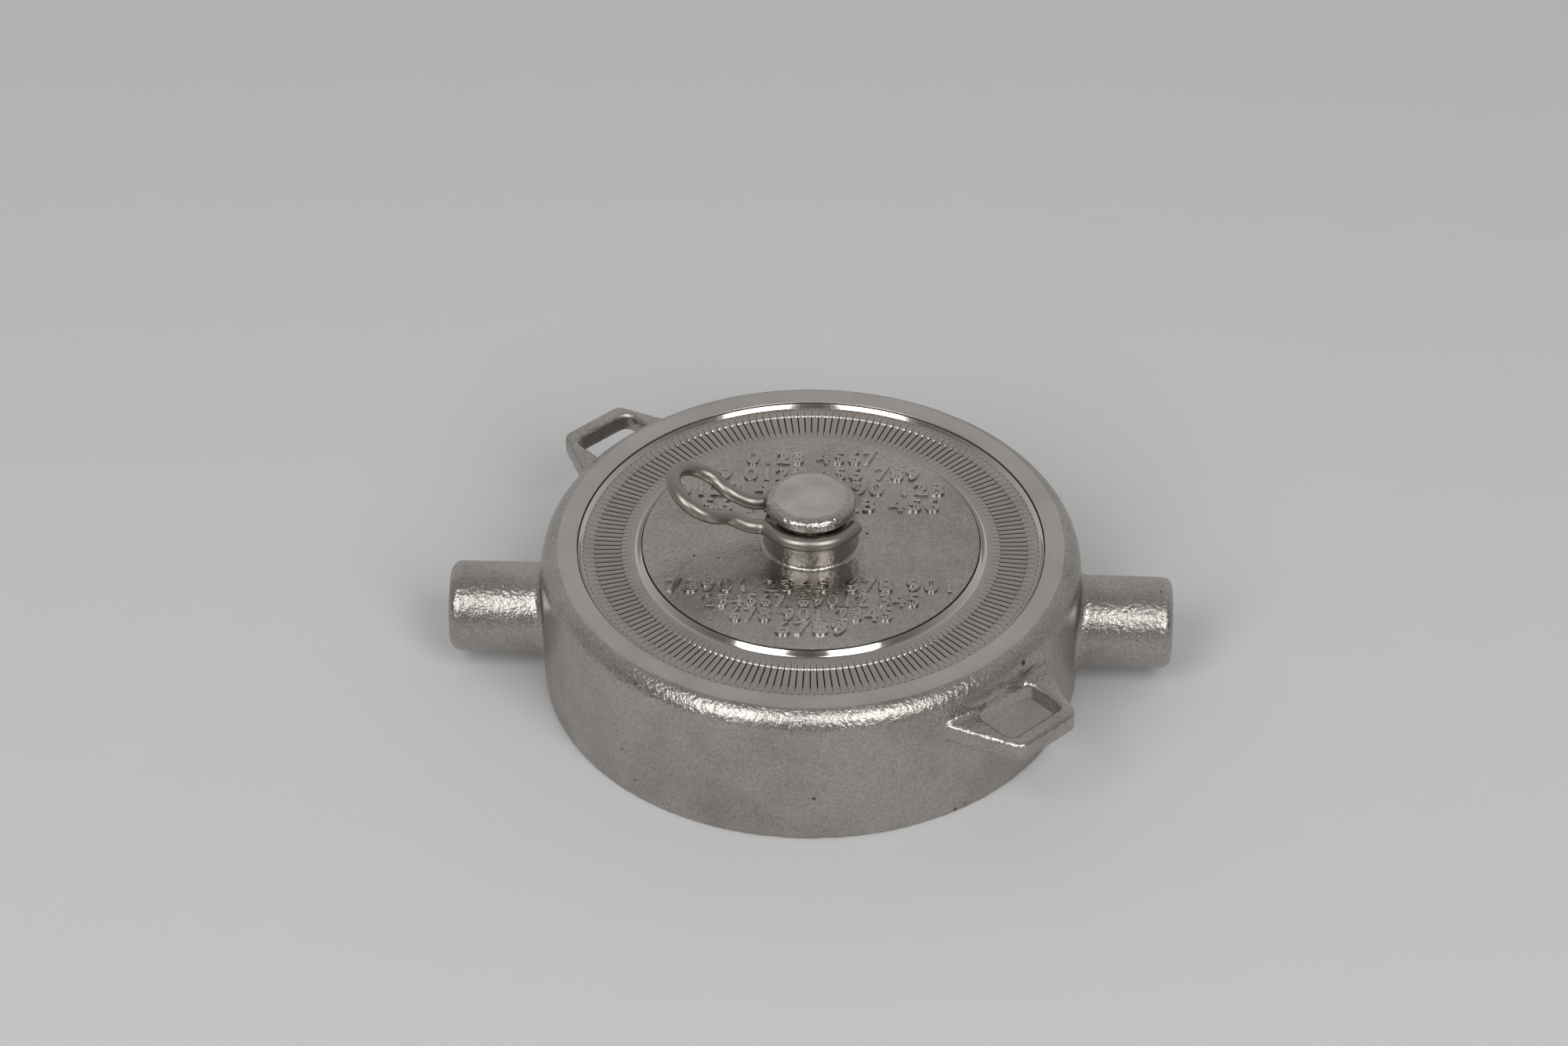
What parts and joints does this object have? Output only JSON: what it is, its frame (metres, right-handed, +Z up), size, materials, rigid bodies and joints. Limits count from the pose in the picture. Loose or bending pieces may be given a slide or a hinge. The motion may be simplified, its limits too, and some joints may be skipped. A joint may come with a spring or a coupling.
{
  "type": "tank pressure relief vent",
  "caption": "Low round cast pressure relief vent with a slotted vent ring, a spring-loaded poppet on a pull stem, a wire clip, steam jacket ports and window lugs.",
  "frame": {"origin": "centre of the body's bottom face", "axes": "+Z up along the valve stem, +X along the two jacket stubs"},
  "size_m": [0.205, 0.1524, 0.068],
  "materials": {
    "cast_steel": "bead-blasted cast stainless with a machined land and a polished bore",
    "cover_steel": "satin as-cast face, polished rim",
    "screen_steel": "glossy, slightly warm",
    "knob_steel": "linished top, cast edge",
    "wire_steel": "smooth drawn wire",
    "spring_steel": "drawn wire",
    "machined_steel": "turned",
    "plate_steel": "rolled plate",
    "screw_steel": "bright fastener",
    "stem_steel": "ground bar",
    "bush_bronze": "sintered bronze",
    "gasket_plastic": "white gasket sheet",
    "seal_rubber": "moulded seal",
    "black_rubber": "moulded ring"
  },
  "bodies": {
    "valve_body": {"body_casting": "cast_steel", "jacket_cover_ring": "plate_steel", "inlet_gasket": "gasket_plastic", "seat_ring": "machined_steel", "seat_o_ring": "black_rubber", "cover_disc": "cover_steel", "cover_spacers": "machined_steel", "cover_screws": "screw_steel", "screen_ring": "screen_steel", "guide_bush": "bush_bronze", "stem_wiper": "black_rubber", "spring_washer": "plate_steel", "relief_spring": "spring_steel"},
    "lift_stem": {"poppet": "machined_steel", "poppet_seal": "seal_rubber", "seal_retainer": "plate_steel", "retainer_screws": "screw_steel", "stem": "stem_steel", "spring_seat": "plate_steel", "stem_washer": "plate_steel", "stem_nut": "screw_steel", "cotter_pin": "wire_steel", "lift_knob": "knob_steel", "knob_pin": "stem_steel"},
    "clip": {"stem_clip": "wire_steel"}
  },
  "joints": [
    {"name": "relief_lift", "type": "slide", "parent": "valve_body", "child": "lift_stem", "axis": [0, 0, 1], "range_m": [0, 0.006], "stiffness_N_per_m": 15000, "springref_m": -0.0044, "deforming": ["relief_spring"]},
    {"name": "clip_turn", "type": "hinge", "parent": "lift_stem", "child": "clip", "pos_m": [0, 0, 0.05355], "axis": [0, 0, 1], "continuous": true}
  ]
}
